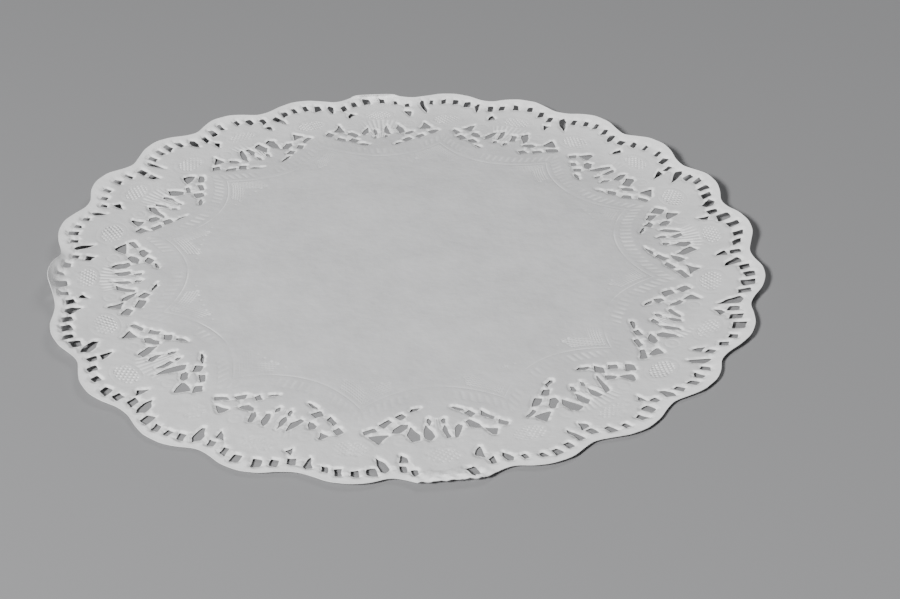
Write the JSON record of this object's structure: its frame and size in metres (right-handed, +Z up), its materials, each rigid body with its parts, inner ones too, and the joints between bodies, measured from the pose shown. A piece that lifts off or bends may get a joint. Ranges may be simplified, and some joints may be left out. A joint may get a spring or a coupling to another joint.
{
  "type": "lace doily",
  "caption": "Round white lace-paper doily, die-cut and embossed, with a scalloped rim that lifts off the table in places and one scallop's edge folded over.",
  "frame": {"origin": "The table plane under the doily, at the middle of the doily's bounding box.", "axes": "Z is up, away from the table. +X runs to the right of the picture's view and +Y away from its viewer. The folded-over scallop is at the front, towards -Y."},
  "size_m": [0.292, 0.29, 0.0094],
  "materials": {
    "paper": "matte"
  },
  "bodies": {
    "root": {"doily": "paper"}
  },
  "joints": []
}
